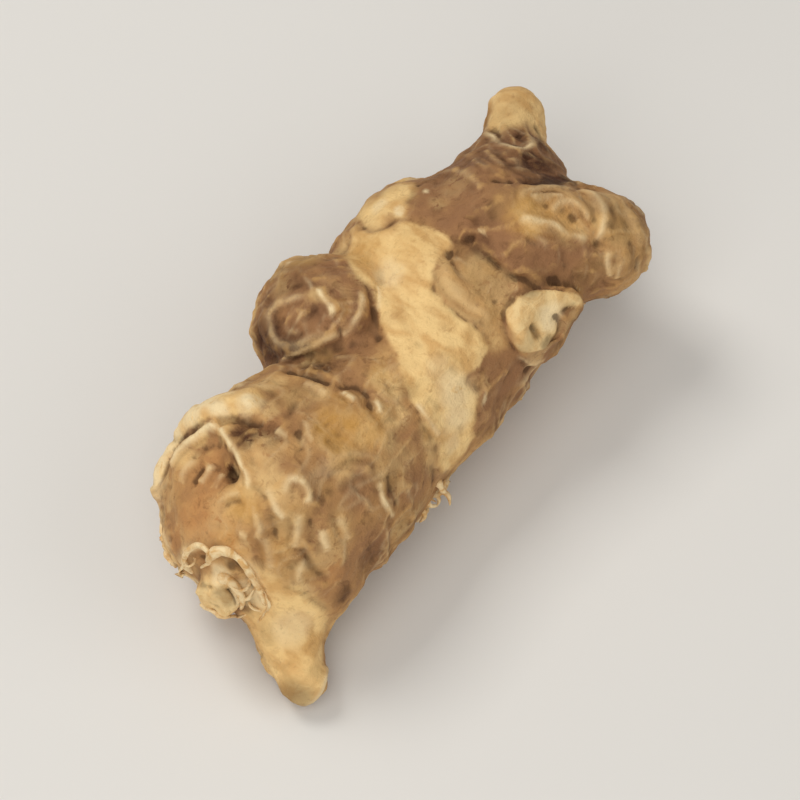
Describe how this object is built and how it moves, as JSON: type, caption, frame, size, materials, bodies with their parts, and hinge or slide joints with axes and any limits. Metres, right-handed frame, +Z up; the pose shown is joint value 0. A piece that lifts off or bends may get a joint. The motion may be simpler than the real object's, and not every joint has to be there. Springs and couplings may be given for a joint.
{
  "type": "galangal root",
  "caption": "Dried, knobbly piece of galangal rhizome lying on its side, with a round bud, a blunt side lobe, a narrow neck, a sliced shoot, root scars and a short finger.",
  "frame": {"origin": "middle of the box around the piece, on the surface that it lies on", "axes": "+X along the rhizome, from the thick rooted end to the narrow neck; +Y to the side of the round bud; +Z up"},
  "size_m": [0.0578, 0.0266, 0.0198],
  "materials": {
    "skin": "dry, wrinkled brown bark, worn to pale tan on its high places",
    "scale_leaf": "thin, torn, cream-coloured scale leaf, matt",
    "fibre": "curly, cream-coloured root fibre, matt"
  },
  "bodies": {
    "root": {"galangal_root": "skin"}
  },
  "joints": []
}
